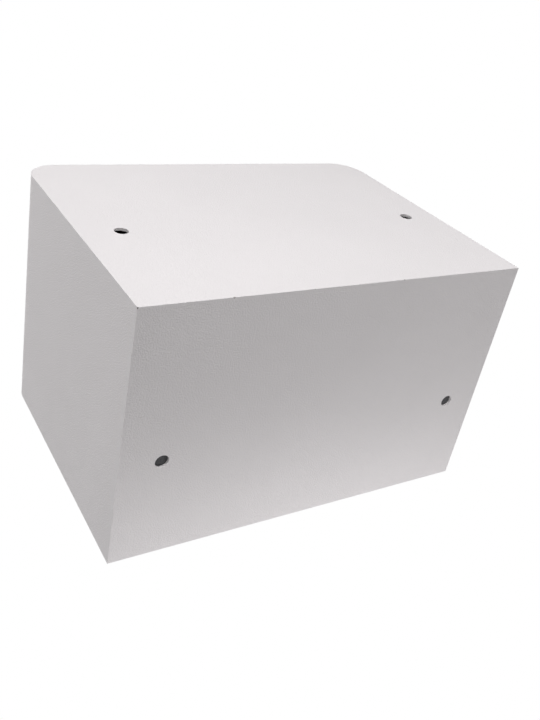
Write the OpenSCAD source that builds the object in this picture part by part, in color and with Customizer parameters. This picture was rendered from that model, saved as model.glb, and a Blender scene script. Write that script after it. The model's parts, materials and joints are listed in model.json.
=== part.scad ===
// Furniture safe with an electronic lock, anchored through its back and its bottom.
// +Z is up, the door faces -Y, and +X is to the right of someone who faces the door.
// The origin is the middle of the underside. All lengths are in millimetres.

/* [Cabinet] */
// Width across the two sides
body_w = 310; // [308:1:380]
// Height from the underside to the top
body_h = 226.5; // [225:0.5:300]
// Depth from the front face to the back face
body_d = 197.5; // [150:0.5:320]
// Thickness of the sheet of the sides, top, bottom and back
sheet_t = 2; // [1.5:0.1:3]
// Outer radius of the two bends along the top
corner_r = 24; // [10:1:28]
// Thickness of the plate round the door
frame_t = 3; // [2:0.5:4]
// Width of the frame from the cabinet's edge to the door opening
frame_edge = 27; // [24:0.5:28]
// Thickness of the floor mat
mat_t = 3; // [2:0.5:5]
// Gap between the floor mat and the walls
mat_gap = 1; // [0.5:0.5:4]

/* [Anchor holes] */
// Diameter of the four anchor holes
anchor_d = 10; // [6:0.5:14]
// Distance between the two holes of a pair
anchor_pitch = 250; // [200:5:270]
// Height of the back pair above the underside
back_anchor_z = 101; // [60:1:150]
// Distance of the bottom pair from the front face
base_anchor_y = 80.2; // [60:0.1:120]

/* [Door] */
// Thickness of the door plate
door_t = 4; // [3:0.5:4.5]
// Gap between the door and its opening, all round
door_gap = 2; // [1.75:0.25:2.5]
// Depth of the folded box behind the door plate
box_depth = 28; // [27:0.5:34]
// Thickness of the folded box
box_t = 1.5; // [1:0.25:2]
// Distance of the box inside the door's edges
box_inset = 3; // [3:0.5:4]
// Thickness of the cover over the lock works
cover_t = 1.2; // [0.8:0.1:1.5]
// Depth of the cover's folded rim
rim_depth = 6; // [4:0.5:8]
// Height of the panel pressed into the cover
press_h = 0.8; // [0.4:0.1:1]

/* [Hinge] */
// Diameter of the two hinge pins
pin_d = 6; // [5:0.5:7]
// Distance of the hinge axis from the door's edge
hinge_inset = 11; // [10:0.5:12]
// Clearance between a hinge pin and its bracket, on the radius
pin_clear = 0.05; // [0.03:0.01:0.09]
// Thickness of the hinge brackets
bracket_t = 4; // [3:0.5:6]
// Height of the blocks that hold the hinge pins
block_h = 14; // [10:1:20]

/* [Bolts] */
// Diameter of the two door bolts
bolt_d = 18; // [14:1:18]
// Distance between the two door bolts
bolt_pitch = 100; // [90:2:104]
// Distance of the cam pin from the knob's axis
cam_r = 12; // [11:0.5:12.5]
// Thickness of the bolt carrier
carrier_t = 2.5; // [2:0.25:3]
// Clearance round everything that slides
slide_clear = 0.3; // [0.3:0.05:0.45]
// Diameter of the cam pin
cam_pin_d = 6; // [5:0.5:6]

/* [Knob] */
// Diameter of the knob's skirt
knob_d = 38; // [34:1:42]
// Height of the knob above the fascia
knob_h = 16.5; // [14:0.5:22]
// Diameter of the spindle
spindle_d = 8; // [6:0.5:9]
// Width of the grip bar across the knob
grip_w = 13; // [10:0.5:16]
// How much the grip bar narrows on each side towards its top
grip_taper = 1.5; // [0.5:0.25:2.5]

/* [Fascia and keys] */
// Width of the fascia
fascia_w = 176; // [172:1:186]
// Height of the fascia
fascia_h = 86; // [80:1:110]
// Thickness of the fascia
fascia_t = 7; // [7:0.25:9]
// Thickness of the fascia's moulded wall
fascia_wall = 2; // [1.6:0.1:2.2]
// Chamfer round the front of the fascia
fascia_edge = 1.5; // [0.5:0.25:2]
// Width of a key
key_w = 11.4; // [9:0.2:12]
// Height of a key
key_h = 9.6; // [8:0.2:10]
// Distance between the columns of keys
key_pitch_x = 15; // [14.5:0.25:15.5]
// Distance between the rows of keys
key_pitch_z = 13.5; // [12.5:0.25:13.5]
// How far a key stands out of the fascia
key_rise = 1.4; // [1.2:0.1:2]
// Chamfer round the top of a key
key_edge = 0.6; // [0.2:0.1:0.8]
// Diameter of the override lock's barrel
barrel_d = 16; // [14:0.5:17]
// Diameter of the round cap over the keyhole
cap_d = 24; // [22:1:26]

/* [Battery] */
// Diameter of a battery cell
cell_d = 14.2; // [13:0.2:14.4]
// Length of a battery cell
cell_l = 50; // [44:0.5:51]
// Distance between neighbouring cells
cell_pitch = 15; // [14.8:0.1:15.4]
// Distance that the battery lid slides to come free
lid_travel = 8; // [6:0.5:10]

/* [Hidden] */
$fn = 96;

// How far a cut runs past the face that it opens
cut = 1;

// Planes from front to back
front_y = -body_d / 2;
back_y = body_d / 2;
frame_y = front_y + frame_t;
door_y = front_y + door_t;
box_y = door_y + box_depth;
cover_y = box_y + cover_t;
fascia_y = front_y - fascia_t;
inner_back_y = back_y - sheet_t;

// Door opening, door and box
mid_z = body_h / 2;
open_w = body_w - 2 * frame_edge;
open_h = body_h - 2 * frame_edge;
door_w = open_w - 2 * door_gap;
door_h = open_h - 2 * door_gap;
box_left = -door_w / 2 + box_inset;
box_h = door_h - 2 * box_inset;
box_top_z = mid_z + box_h / 2 - box_t;
box_bottom_z = mid_z - box_h / 2 + box_t;

// Gap between an anchor bolt's hole in the sheet and the hole in the mat, on the radius
mat_hole_gap = 0.25;

// Hinge
hinge_plate_gap = 0.5;
hinge_x = door_w / 2 - hinge_inset;
hinge_y = max(frame_y, door_y) + pin_d / 2 + hinge_plate_gap;
bracket_wall = 5;
bracket_r = pin_d / 2 + bracket_wall;
bracket_foot = 4;
block_wall = 3;
block_r = pin_d / 2 + block_wall;
box_from_block = 2;
box_right = hinge_x - block_r - box_from_block;
block_below_edge = 1;

// Bolts and carrier
bolt_gap = 0.5;
bolt_y = door_y + bolt_d / 2 + bolt_gap;
bolt_throw = 2 * cam_r * sin(45);
flange_from_box = 26;
flange_x = box_left + flange_from_box;
flange_t = 3;
flange_over = 2;
flange_h = bolt_pitch + bolt_d + 2 * flange_over;
flange_under = 1;
flange_w = bolt_d - 2 * flange_under;
strip_w = 12;
strip_from_bolt = 8;
bolt_screw_l = 11;
bolt_screw_head_d = 10;
bolt_screw_head_h = 4;
bolt_nose = 1.5;
bolt_proud = 1;
carrier_y = bolt_y - carrier_t / 2;
cam_pin_play = 0.5;
carrier_slot_w = cam_pin_d + 2 * cam_pin_play;
bolt_screw_d = 6;

// Knob, spindle and cam
knob_from_box = 71;
knob_x = box_left + knob_from_box;
cam_gap = 0.5;
cam_t = 4;
cam_y = carrier_y - cam_gap - cam_t;
cam_rim = 2;
cam_d = 2 * cam_r + cam_pin_d + 2 * cam_rim;
nut_t = 3;
bush_d = 14;
nut_wall = 4;
spindle_clear = 0.05;
pin_dx = cam_r * sin(45);
pin_dz = cam_r * cos(45);
knob_gap = 0.4;
skirt_y = fascia_y - knob_gap;
skirt_h = 6;
dish_y = skirt_y - skirt_h;
dish_h = 3;
dish_d = knob_d - 9;
knob_edge = 0.8;
grip_r = 3;
grip_inset = 1;
socket_wall = 5;
socket_y = fascia_y - knob_h + socket_wall;
flutes = 24;
flute_d = 3;
flute_off = 0.6;
flute_from_back = 1.5;
grip_edge = 1;
pointer_d = 2.4;
pointer_depth = 0.6;
pointer_from_end = 4;

// Guide studs of the carrier
guide_d = 6;
guide_head_d = 10;
guide_head_t = 2;
guide_head_y = carrier_y + carrier_t + slide_clear;
guide_from_knob = 22;
guide_x = knob_x - guide_from_knob;
guide_dz = 23;
plate_right = 18;
plate_h = 64;
cam_pin_over = 2;
cam_pin_y = carrier_y + carrier_t + cam_pin_over;
cam_slot_end = 1;

// Override lock and its cap
lock_from_knob = 44;
lock_under_arm = 4;
lock_x = knob_x + lock_from_knob;
barrel_inside = 15;
barrel_back_y = door_y + barrel_inside;
barrel_nut_wall = 3;
plug_d = 9;
keyway_w = 1.2;
keyway_h = 6;
keyway_depth = 11;
lever_hub = 3;
lever_l = 37;
lever_w = 8;
lever_t = 2;
cap_t = 2.2;
cap_gap = 0.3;
cap_front_y = fascia_y - cap_gap - cap_t;
rivet_head_y = cap_front_y - cap_gap;
cap_lobe_r = 5;
rivet_d = 3;
cap_pivot_dz = cap_d / 2 + rivet_d;
rivet_head_t = 1;
rivet_head_over = 2;
rivet_clear = 0.05;

// Solenoid and plunger
plunger_d = 8;
plunger_travel = 8;
plunger_start = 6;
plunger_top_gap = 2;
arm_clear = 0.5;
arm_h = 12;
arm_from_knob = 38;
coil_h = 28;
coil_w = 26;
coil_plate_t = 2;
coil_headroom = 1.75;
coil_half = bolt_y - door_y;
coil_lip = 1;
bobbin_t = 1;
winding_under = 0.7;
coil_z = box_top_z - coil_headroom - coil_h;
collar_t = 2;
collar_over = 2.5;
spring_room = 5;
collar_z = coil_z - spring_room - collar_t;
collar_from_tip = 5;
plunger_tip_z = collar_z - collar_from_tip;
arm_top_z = plunger_tip_z - plunger_start;
arm_bottom_z = arm_top_z - arm_h;
arm_end_x = knob_x + arm_from_knob;
plunger_x = arm_end_x - bolt_throw * plunger_start / plunger_travel - arm_clear + plunger_d / 2;
lock_z = arm_bottom_z - lock_under_arm - barrel_d / 2;
spring_wire = 0.8;
spring_over = 1.5;
spring_r = plunger_d / 2 + spring_over;
spring_turns = 3;
cross_pin_d = 3;
cross_pin_past = 1;
cross_pin_z = plunger_tip_z + cross_pin_d;
cross_pin_l = barrel_back_y + slide_clear + lever_t + cross_pin_past - bolt_y;
lever_gap = 0.5;
pin_reach = norm([plunger_x - lock_x, cross_pin_z - lock_z]);
pin_angle = atan2(cross_pin_z - lock_z, plunger_x - lock_x);
lever_rest = pin_angle + asin((lever_w / 2 + cross_pin_d / 2 + lever_gap) / pin_reach) + 90;
spring_gap = 0.1;
spring_z0 = collar_z + collar_t + spring_wire / 2 + spring_gap;
spring_z1 = coil_z - spring_wire / 2 - spring_gap;
spring_steps = 14 * spring_turns;
spring_sides = 6;

// Keypad
fascia_from_knob = 40;
fascia_left = knob_x - fascia_from_knob;
fascia_mid_x = fascia_left + fascia_w / 2;
fascia_r = 8;
pad_from_edge = 32;
pad_below_middle = 6;
pad_x = fascia_left + fascia_w - pad_from_edge;
pad_z = mid_z - pad_below_middle;
board_t = 1.6;
pad_board_over = 3;
pad_board_gap = 1;
pad_board_w = 3 * key_pitch_x + 2 * pad_board_over;
pad_board_h = fascia_h - 2 * fascia_wall - 2 * pad_board_gap;
key_flange = 0.8;
key_flange_t = 1;
led_d = 4;
led_pitch = 12;
led_over_middle = 32;
led_z = mid_z + led_over_middle;
led_proud = 0.8;
led_step = 0.5;
field_depth = 0.5;
field_over = 2;
field_w = 2 * key_pitch_x + key_w + 2 * field_over;
field_top = led_z + led_d / 2 + field_over;
field_bottom = pad_z - 1.5 * key_pitch_z - key_h / 2 - field_over;
field_r = 3;
key_r = 2;
dome_h = 0.7;
dome_d = 7;
ribbon_w = 10;
ribbon_t = 1;
ribbon_slot_gap = 1.5;
ribbon_over_middle = 35;
ribbon_z = mid_z + ribbon_over_middle;
function key_x(column) = pad_x + (column - 1) * key_pitch_x;
function key_z(row) = pad_z + (1.5 - row) * key_pitch_z;

// Battery tray, lid and control board
tray_wall = 2;
tray_w = 4 * cell_pitch + 2 * tray_wall;
tray_from_hinge_side = 19;
tray_x = box_right - tray_from_hinge_side - tray_w;
contact_t = 3;
contact_w = 10;
contact_plate_t = 0.5;
contact_base_d = 8;
contact_tip_d = 5;
cell_cap_d = 5.5;
cell_cap_h = 1.5;
tray_h = cell_l + 2 * contact_t + 2 * tray_wall;
tray_lift = 9.75;
tray_z = box_bottom_z + tray_lift;
cell_gap = 0.2;
cell_top_gap = 2;
tray_depth = cell_d + cell_gap + tray_wall + cell_top_gap;
cells_y = box_y - tray_depth + tray_wall + cell_gap + cell_d / 2;
lid_gap = 0.3;
lid_t = 1.8;
lid_over = 2;
lid_r = 2;
rib_pitch = 2.4;
rib_w = 1.2;
rib_h = 24;
rib_depth = 0.6;
rib_from_edge = 14;
hook_w = 6;
hook_neck = 2;
hook_foot = 4;
hook_foot_t = 1.2;
hook_dz = 4;
hook_from_edge = 12;
pcb_w = 60;
pcb_h = 62;
pcb_from_hinge_side = 11;
pcb_left_of_pad = 16;
pcb_from_top = 13.75;
pcb_x = min(pad_x - pcb_left_of_pad, box_right - pcb_from_hinge_side - pcb_w);
pcb_z = box_top_z - pcb_from_top - pcb_h;
pcb_stand = 3;
pcb_y = door_y + pcb_stand;
pcb_front_y = pcb_y + board_t;
pad_d = 5;
pad_inset = 4;
chip_w = 16;
chip_h = 12;
chip_t = 2;
chip_z = 28;
terminal_w = 14;
terminal_h = 6;
terminal_t = 5;
terminal_inset = 6;
switch_w = 8;
switch_t = 4;
buzzer_d = 12;
buzzer_h = 7;
buzzer_hole_d = 2;
buzzer_hole_depth = 1;
buzzer_dx = 22;
buzzer_dz = 14;
buzzer_x = pcb_x + buzzer_dx;
buzzer_z = pcb_z + buzzer_dz;
buzzer_top_y = pcb_front_y + buzzer_h;
sound_slots = 3;
sound_slot_l = 9;
sound_slot_w = 1.2;
sound_pitch = 2.8;
post_d = 8;
post_inset = 8;
press_from_side = 14;
press_from_tray = 10;
press_r = 6;
post_dz = box_h / 2 - post_inset;
reset_dx = 10;
reset_dz = 16;
reset_x = pcb_x + pcb_w - reset_dx;
reset_z = pcb_z + reset_dz;
reset_flange = 2.5;
reset_flange_t = 1;
reset_proud = 2;
reset_gap = 0.2;
reset_d = 6;
reset_travel = 1.5;
reset_foot_y = pcb_front_y + switch_t + reset_travel + reset_gap;
post_screw_d = 3.5;
post_screw_l = 9;
screw_head_h = 2;
screw_head_d = 2 * post_screw_d;
screw_crown_d = 1.3 * post_screw_d;
screw_slot_w = 0.6;
screw_hole_gap = 0.2;
screw_tip_gap = 1;
post_places = [for (x = [box_left + post_inset, box_right - post_inset], side = [-1, 1])
    [x, mid_z + side * post_dz]];
hook_places = [for (x = [tray_x + hook_from_edge, tray_x + tray_w - hook_from_edge],
    z = [tray_z - hook_dz, tray_z + tray_h + hook_dz]) [x, z]];
function sound_slot_z(i) = buzzer_z + (i - (sound_slots - 1) / 2) * sound_pitch;
function cell_x(i) = tray_x + tray_wall + cell_pitch * (i + 0.5);

// Solid between two planes across the depth, from an outline seen from the front
module slab(y0, y1) {
    translate([0, y1, 0])
        rotate([90, 0, 0])
            linear_extrude(y1 - y0)
                children();
}

// Round bar along the depth
module bar_y(x, z, y0, y1, d) {
    translate([x, y1, z])
        rotate([90, 0, 0])
            cylinder(d = d, h = y1 - y0);
}

// Round bar along the width
module bar_x(x0, x1, y, z, d) {
    translate([x0, y, z])
        rotate([0, 90, 0])
            cylinder(d = d, h = x1 - x0);
}

// Rectangle with round corners, centred
module round_rect(w, h, r) {
    square([w - 2 * r, h], center = true);
    square([w, h - 2 * r], center = true);
    for (sx = [-1, 1], sy = [-1, 1])
        translate([sx * (w / 2 - r), sy * (h / 2 - r)])
            circle(r);
}

// Cabinet outline from the front, round at its two top corners
module arch(w, h, r) {
    translate([-w / 2, 0])
        square([w, h - r]);
    translate([-w / 2 + r, 0])
        square([w - 2 * r, h]);
    for (side = [-1, 1])
        translate([side * (w / 2 - r), h - r])
            circle(r);
}

// Slot with round ends, from its start along +X
module slot(l, w) {
    translate([0, -w / 2])
        square([l, w]);
    circle(d = w);
    translate([l, 0])
        circle(d = w);
}

// Left side, top and right side, bent from one sheet
module body_wrap() {
    color("gainsboro")
        slab(frame_y, inner_back_y)
            difference() {
                translate([0, sheet_t])
                    arch(body_w, body_h - sheet_t, corner_r);
                translate([0, sheet_t - cut])
                    arch(body_w - 2 * sheet_t, body_h - 2 * sheet_t + cut, corner_r - sheet_t);
            }
}

module back_panel() {
    color("whitesmoke")
        difference() {
            slab(inner_back_y, back_y)
                arch(body_w, body_h, corner_r);
            for (side = [-1, 1])
                bar_y(side * anchor_pitch / 2, back_anchor_z, inner_back_y - cut, back_y + cut, anchor_d);
        }
}

module base_holes(z0, z1, d) {
    for (side = [-1, 1])
        translate([side * anchor_pitch / 2, front_y + base_anchor_y, z0])
            cylinder(d = d, h = z1 - z0);
}

module bottom_panel() {
    color("lightgray")
        difference() {
            translate([-body_w / 2, frame_y, 0])
                cube([body_w, inner_back_y - frame_y, sheet_t]);
            base_holes(-cut, sheet_t + cut, anchor_d);
        }
}

module front_frame() {
    color("gainsboro")
        slab(front_y, frame_y)
            difference() {
                arch(body_w, body_h, corner_r);
                translate([0, mid_z])
                    square([open_w, open_h], center = true);
            }
}

// Ear behind the frame with the bore of one hinge pin
module hinge_bracket() {
    foot_w = 2 * (bracket_r + bracket_foot);
    difference() {
        union() {
            translate([hinge_x, hinge_y, 0])
                cylinder(r = bracket_r, h = bracket_t);
            translate([hinge_x - foot_w / 2, frame_y, 0])
                cube([foot_w, hinge_y - frame_y, bracket_t]);
        }
        translate([hinge_x, hinge_y, -cut])
            cylinder(d = pin_d + 2 * pin_clear, h = bracket_t + 2 * cut);
        translate([hinge_x - foot_w / 2, frame_y - bracket_r, -cut])
            cube([foot_w, bracket_r, bracket_t + 2 * cut]);
    }
}

module hinge_bracket_top() {
    color("silver")
        translate([0, 0, mid_z + open_h / 2])
            hinge_bracket();
}

module hinge_bracket_bottom() {
    color("silver")
        translate([0, 0, mid_z - open_h / 2 - bracket_t])
            hinge_bracket();
}

module floor_mat() {
    color("dimgray")
        difference() {
            translate([-body_w / 2 + sheet_t + mat_gap, frame_y + mat_gap, sheet_t])
                cube([body_w - 2 * (sheet_t + mat_gap), inner_back_y - frame_y - 2 * mat_gap, mat_t]);
            base_holes(0, sheet_t + mat_t + cut, anchor_d + 2 * mat_hole_gap);
        }
}

module door_plate() {
    color("gainsboro")
        difference() {
            slab(front_y, door_y)
                translate([0, mid_z])
                    square([door_w, door_h], center = true);
            bar_y(knob_x, mid_z, front_y - cut, door_y + cut, bush_d);
            bar_y(lock_x, lock_z, front_y - cut, door_y + cut, barrel_d);
            translate([pad_x, 0, ribbon_z])
                translate([-ribbon_w / 2 - ribbon_slot_gap, front_y - cut, -ribbon_t / 2 - ribbon_slot_gap])
                    cube([ribbon_w + 2 * ribbon_slot_gap, door_t + 2 * cut, ribbon_t + 2 * ribbon_slot_gap]);
        }
}

// Folded ring behind the door plate, with the holes that carry the bolts
module door_box() {
    color("lightgray")
        difference() {
            translate([box_left, door_y, mid_z - box_h / 2])
                cube([box_right - box_left, box_depth, box_h]);
            translate([box_left + box_t, door_y - cut, mid_z - box_h / 2 + box_t])
                cube([box_right - box_left - 2 * box_t, box_depth + 2 * cut, box_h - 2 * box_t]);
            for (side = [-1, 1])
                bar_x(box_left - cut, box_left + box_t + cut, bolt_y, mid_z + side * bolt_pitch / 2,
                    bolt_d + 2 * slide_clear);
        }
}

// Welded blocks at the door's two hinge corners, each with the bore of its pin
module hinge_blocks() {
    color("silver")
        for (side = [-1, 1])
            translate([0, 0, mid_z + side * (door_h / 2 - block_below_edge - block_h / 2)])
                difference() {
                    union() {
                        translate([hinge_x, hinge_y, -block_h / 2])
                            cylinder(r = block_r, h = block_h);
                        translate([hinge_x - block_r, door_y, -block_h / 2])
                            cube([2 * block_r, hinge_y - door_y, block_h]);
                    }
                    translate([hinge_x, hinge_y, -block_h])
                        cylinder(d = pin_d, h = 2 * block_h);
                    translate([hinge_x - 2 * block_r, door_y - 2 * block_r, -block_h])
                        cube([4 * block_r, 2 * block_r, 2 * block_h]);
                }
}

module hinge_pins() {
    color("darkgray")
        for (side = [-1, 1])
            translate([hinge_x, hinge_y, mid_z])
                mirror([0, 0, side < 0 ? 1 : 0])
                    translate([0, 0, door_h / 2 - block_below_edge - block_h])
                        cylinder(d = pin_d, h = block_below_edge + block_h + door_gap + bracket_t);
}

// Outline of the fascia, smaller by an inset all round
module fascia_outline(inset) {
    translate([fascia_mid_x, mid_z])
        round_rect(fascia_w - 2 * inset, fascia_h - 2 * inset, fascia_r - inset);
}

// Moulded keypad housing, a chamfered shell with a sunk field for the keys and the lights
module fascia() {
    color("black")
        difference() {
            hull() {
                slab(fascia_y + fascia_edge, front_y)
                    fascia_outline(0, $fn = 32);
                slab(fascia_y, front_y)
                    fascia_outline(fascia_edge, $fn = 32);
            }
            slab(fascia_y + fascia_wall, front_y + cut)
                difference() {
                    fascia_outline(fascia_wall);
                    translate([knob_x, mid_z])
                        circle(d = bush_d + 2 * fascia_wall);
                    translate([lock_x, lock_z])
                        circle(d = barrel_d + 2 * fascia_wall);
                    translate([lock_x, lock_z + cap_pivot_dz])
                        circle(d = rivet_d + 2 * fascia_wall);
                }
            slab(fascia_y - cut, fascia_y + field_depth)
                translate([pad_x, (field_top + field_bottom) / 2])
                    round_rect(field_w, field_top - field_bottom, field_r);
            bar_y(knob_x, mid_z, fascia_y - cut, front_y + cut, bush_d);
            bar_y(lock_x, lock_z, fascia_y - cut, front_y + cut, barrel_d);
            bar_y(lock_x, lock_z + cap_pivot_dz, fascia_y - cut, front_y + cut, rivet_d);
            for (column = [0:2], row = [0:3])
                slab(fascia_y - cut, fascia_y + fascia_wall + cut)
                    translate([key_x(column), key_z(row)])
                        round_rect(key_w + 2 * slide_clear, key_h + 2 * slide_clear, key_r + slide_clear);
            for (i = [-1:1])
                bar_y(pad_x + i * led_pitch, led_z, fascia_y - cut, front_y, led_d);
        }
}

// Keypad circuit board with a dome switch under each key and three lights
module keypad_board() {
    color("darkgreen") {
        slab(front_y - board_t, front_y)
            translate([pad_x, mid_z])
                square([pad_board_w, pad_board_h], center = true);
        for (column = [0:2], row = [0:3])
            bar_y(key_x(column), key_z(row), front_y - board_t - dome_h, front_y - board_t, dome_d);
        for (i = [-1:1])
            bar_y(pad_x + i * led_pitch, led_z, fascia_y + fascia_wall, front_y - board_t, led_d - led_step);
    }
}

// Lights with round tops
module led_lenses() {
    r = led_d / 2;
    stem = fascia_wall + led_proud - r;
    dome = [for (angle = [0 : 15 : 90]) [r * cos(angle), stem + r * sin(angle)]];
    color("lightyellow")
        for (i = [-1:1])
            translate([pad_x + i * led_pitch, fascia_y + fascia_wall, led_z])
                rotate([90, 0, 0])
                    rotate_extrude()
                        polygon(concat([[0, 0], [r, 0]], dome));
}

// Flat lead through the slot of the door plate, between the two boards
module keypad_ribbon() {
    color("gray")
        translate([pad_x - ribbon_w / 2, front_y, ribbon_z - ribbon_t / 2])
            cube([ribbon_w, pcb_y - front_y, ribbon_t]);
}

// Outline of the panel pressed into the cover, smaller by an inset all round
module press_outline(inset) {
    left = box_left + press_from_side;
    right = tray_x - press_from_tray;
    translate([(left + right) / 2, mid_z])
        round_rect(right - left - 2 * inset, box_h - 2 * press_from_side - 2 * inset, press_r - inset);
}

// Cover over the lock works, with a folded rim, a pressed panel, cut-outs for the battery side and slots for
// the buzzer
module lock_cover() {
    rim_gap = 0.2;
    plate_w = box_right - box_left;
    inner_w = plate_w - 2 * box_t - 2 * rim_gap;
    inner_h = box_h - 2 * box_t - 2 * rim_gap;
    color("gainsboro")
        difference() {
            union() {
                slab(box_y, cover_y)
                    translate([box_left + plate_w / 2, mid_z])
                        square([plate_w, box_h], center = true);
                slab(cover_y, cover_y + press_h)
                    press_outline(0);
                slab(box_y - rim_depth, box_y)
                    translate([box_left + plate_w / 2, mid_z])
                        difference() {
                            square([inner_w, inner_h], center = true);
                            square([inner_w - 2 * cover_t, inner_h - 2 * cover_t], center = true);
                        }
            }
            slab(box_y - cut, box_y + press_h)
                press_outline(cover_t);
            slab(box_y - cut, cover_y + cut) {
                translate([tray_x + tray_wall, tray_z + tray_wall])
                    square([tray_w - 2 * tray_wall, tray_h - 2 * tray_wall]);
                for (hook = hook_places)
                    translate([hook[0], hook[1]]) {
                        translate([-hook_w / 2 - slide_clear - lid_travel, -hook_neck / 2 - slide_clear])
                            square([hook_w + 2 * slide_clear + lid_travel, hook_neck + 2 * slide_clear]);
                        translate([-hook_w / 2 - slide_clear - lid_travel, -hook_foot / 2 - slide_clear])
                            square([hook_w + 2 * slide_clear, hook_foot + 2 * slide_clear]);
                    }
                for (i = [0:sound_slots - 1])
                    translate([buzzer_x - sound_slot_l / 2, sound_slot_z(i)])
                        slot(sound_slot_l, sound_slot_w);
            }
            bar_y(reset_x, reset_z, box_y - cut, cover_y + cut, reset_d + 2 * slide_clear);
            for (place = post_places)
                bar_y(place[0], place[1], box_y - cut, cover_y + cut, post_screw_d + 2 * screw_hole_gap);
        }
}

// Posts on the door plate that the cover is screwed to
module cover_posts() {
    color("silver")
        for (place = post_places)
            difference() {
                bar_y(place[0], place[1], door_y, box_y, post_d);
                bar_y(place[0], place[1], box_y - post_screw_l, box_y + cut, post_screw_d);
            }
}

// Domed cross-slot screws
module cover_screws() {
    color("silver")
        for (place = post_places)
            difference() {
                union() {
                    bar_y(place[0], place[1], box_y - post_screw_l + screw_tip_gap, cover_y, post_screw_d);
                    translate([place[0], cover_y, place[1]])
                        rotate([-90, 0, 0])
                            cylinder(d1 = screw_head_d, d2 = screw_crown_d, h = screw_head_h);
                }
                for (turn = [0, 90])
                    translate([place[0], cover_y + screw_head_h, place[1]])
                        rotate([0, turn, 0])
                            cube([post_screw_d, screw_head_h, screw_slot_w], center = true);
            }
}

module spindle_bush() {
    color("goldenrod")
        difference() {
            bar_y(knob_x, mid_z, fascia_y, door_y + nut_t, bush_d);
            bar_y(knob_x, mid_z, fascia_y - cut, door_y + nut_t + cut, spindle_d + 2 * spindle_clear);
        }
}

module bush_nut() {
    color("silver")
        difference() {
            translate([knob_x, door_y + nut_t, mid_z])
                rotate([90, 0, 0])
                    cylinder(d = bush_d + 2 * nut_wall, h = nut_t, $fn = 6);
            bar_y(knob_x, mid_z, door_y - cut, door_y + nut_t + cut, bush_d);
        }
}

// Shouldered studs that run in the long slots of the bolt carrier
module carrier_guides() {
    color("silver")
        for (side = [-1, 1])
            translate([guide_x, 0, mid_z + side * guide_dz]) {
                bar_y(0, 0, door_y, carrier_y - slide_clear, guide_head_d);
                bar_y(0, 0, carrier_y - slide_clear, guide_head_y, guide_d);
                bar_y(0, 0, guide_head_y, guide_head_y + guide_head_t, guide_head_d);
            }
}

// Bent frame of the solenoid: a back plate on the door with a plate above and below the coil
module solenoid_frame() {
    color("silver")
        difference() {
            union() {
                translate([plunger_x - coil_w / 2, door_y, coil_z])
                    cube([coil_w, coil_plate_t, coil_h]);
                for (z = [coil_z, coil_z + coil_h - coil_plate_t])
                    translate([plunger_x - coil_w / 2, door_y, z])
                        cube([coil_w, 2 * coil_half - coil_lip, coil_plate_t]);
            }
            translate([plunger_x, bolt_y, coil_z - cut])
                cylinder(d = plunger_d + 2 * slide_clear, h = coil_plate_t + 2 * cut);
        }
}

// Winding between the two flanges of its bobbin
module solenoid_coil() {
    bobbin_d = 2 * (coil_half - coil_plate_t);
    bobbin_h = coil_h - 2 * coil_plate_t;
    color("firebrick")
        translate([plunger_x, bolt_y, coil_z + coil_plate_t])
            difference() {
                union() {
                    cylinder(d = bobbin_d - 2 * winding_under, h = bobbin_h);
                    for (z = [0, bobbin_h - bobbin_t])
                        translate([0, 0, z])
                            cylinder(d = bobbin_d, h = bobbin_t);
                }
                translate([0, 0, -cut])
                    cylinder(d = plunger_d + 2 * slide_clear, h = coil_h);
            }
}

// Steel plunger with the collar that its spring pushes and the cross pin that the override lever lifts
module plunger() {
    color("lightsteelblue")
        translate([plunger_x, bolt_y, 0]) {
            translate([0, 0, plunger_tip_z])
                cylinder(d = plunger_d, h = coil_z + coil_h - coil_plate_t - plunger_top_gap - plunger_tip_z);
            translate([0, 0, collar_z])
                cylinder(d = plunger_d + 2 * collar_over, h = collar_t);
            translate([0, 0, cross_pin_z])
                rotate([-90, 0, 0])
                    cylinder(d = cross_pin_d, h = cross_pin_l);
        }
}

// Helical wire of the plunger spring, as rings of a tube with closed ends
function spring_point(i, k) = let (
        turn = 360 * spring_turns * i / spring_steps,
        around = 360 * k / spring_sides,
        r = spring_r + spring_wire / 2 * cos(around)
    ) [
        r * cos(turn),
        r * sin(turn),
        spring_z0 + (spring_z1 - spring_z0) * i / spring_steps + spring_wire / 2 * sin(around)
    ];
module plunger_spring() {
    points = [for (i = [0:spring_steps], k = [0:spring_sides - 1]) spring_point(i, k)];
    sides = [for (i = [0:spring_steps - 1], k = [0:spring_sides - 1])
        let (a = i * spring_sides + k, b = i * spring_sides + (k + 1) % spring_sides)
            [a, b, b + spring_sides, a + spring_sides]];
    first = [for (k = [spring_sides - 1:-1:0]) k];
    last = [for (k = [0:spring_sides - 1]) spring_steps * spring_sides + k];
    color("silver")
        translate([plunger_x, bolt_y, 0])
            polyhedron(points = points, faces = concat(sides, [first], [last]), convexity = 8);
}

// Control board on its pads, with the chip, the terminals and the reset switch
module control_board() {
    color("seagreen") {
        translate([pcb_x, pcb_y, pcb_z])
            cube([pcb_w, board_t, pcb_h]);
        for (dx = [pad_inset, pcb_w - pad_inset], dz = [pad_inset, pcb_h - pad_inset])
            bar_y(pcb_x + dx, pcb_z + dz, door_y, pcb_y, pad_d);
        translate([pcb_x + (pcb_w - chip_w) / 2, pcb_front_y, pcb_z + chip_z])
            cube([chip_w, chip_t, chip_h]);
        translate([pcb_x + terminal_inset, pcb_front_y, pcb_z + pcb_h - terminal_inset - terminal_h])
            cube([terminal_w, terminal_t, terminal_h]);
        translate([reset_x - switch_w / 2, pcb_front_y, reset_z - switch_w / 2])
            cube([switch_w, switch_t, switch_w]);
    }
}

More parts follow.
